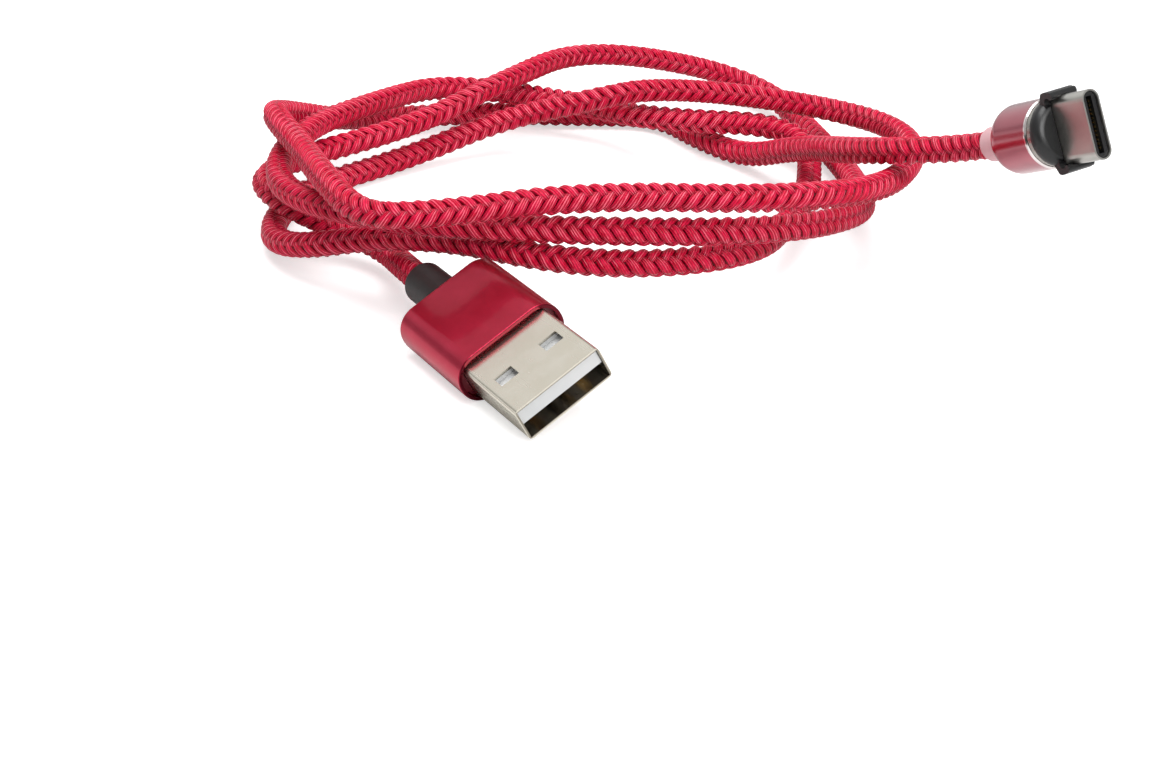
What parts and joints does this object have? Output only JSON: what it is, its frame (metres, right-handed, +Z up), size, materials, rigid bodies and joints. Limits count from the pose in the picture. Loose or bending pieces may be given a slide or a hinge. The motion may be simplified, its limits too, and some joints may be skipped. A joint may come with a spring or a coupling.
{
  "type": "charging cable",
  "caption": "Braided charging cable in loose loops, with a USB-A plug at one end and a magnetic head at the other that holds a removable USB-C tip.",
  "frame": {"origin": "middle of the base of the box round the rigid pieces, which are the plug, the magnetic head and its tip, on the surface that the cable lies on", "axes": "+Z up from the surface, +X to the right and +Y away from the viewer, as the picture shows the cable"},
  "size_m": [0.1057, 0.1234, 0.034],
  "materials": {
    "red_anodised": "satin",
    "steel": "polished",
    "bright_nickel": "polished",
    "dark_steel": "satin",
    "gold": "polished",
    "white_plastic": "satin",
    "red_plastic": "satin",
    "black_plastic": "gloss",
    "grey_plastic": "matt",
    "frosted_clear": "frosted",
    "board_green": "satin",
    "magnet_grey": "satin",
    "spring_steel": "satin",
    "copper": "polished",
    "red_braid": "woven"
  },
  "bodies": {
    "cable": {"usb_a_sleeve": "red_anodised", "usb_a_shell": "steel", "usb_a_tongue": "white_plastic", "usb_a_contacts": "gold", "usb_a_circuit_board": "board_green", "usb_a_inner_frame": "red_plastic", "usb_a_back_cap": "black_plastic", "usb_a_wires": "copper", "usb_a_collar": "grey_plastic", "cord_plug_lead": "red_braid", "cord_loops": "red_braid", "cord_head_lead": "red_braid", "head_light_ring": "frosted_clear", "head_barrel": "red_anodised", "head_rear_insert": "black_plastic", "head_circuit_board": "board_green", "head_light": "white_plastic", "head_wires": "copper", "head_magnet": "magnet_grey", "head_plunger_tube": "gold", "head_plunger_spring": "spring_steel", "head_contact_carrier": "black_plastic", "head_ring_contact": "gold", "head_front_ring": "bright_nickel"},
    "plunger": {"head_plunger": "gold"},
    "tip_ring": {"tip_steel_ring": "dark_steel"},
    "tip": {"tip_body": "black_plastic", "tip_centre_contact": "gold", "tip_ring_contact": "gold", "tip_circuit_board": "board_green", "usb_c_shell": "bright_nickel", "usb_c_insert": "black_plastic", "usb_c_contacts": "gold"}
  },
  "joints": [
    {"name": "tip_pull", "type": "slide", "parent": "cable", "child": "tip_ring", "axis": [0.4076, -0.8176, 0.4067], "range_m": [0, 0.012]},
    {"name": "tip_turn", "type": "hinge", "parent": "tip_ring", "child": "tip", "pos_m": [0.03573, 0.00821, 0.02712], "axis": [0.4076, -0.8176, 0.4067], "continuous": true},
    {"name": "contact_press", "type": "slide", "parent": "cable", "child": "plunger", "axis": [-0.4076, 0.8176, -0.4067], "range_m": [0, 0.0004], "stiffness_N_per_m": 150, "deforming": ["head_plunger_spring"]}
  ]
}
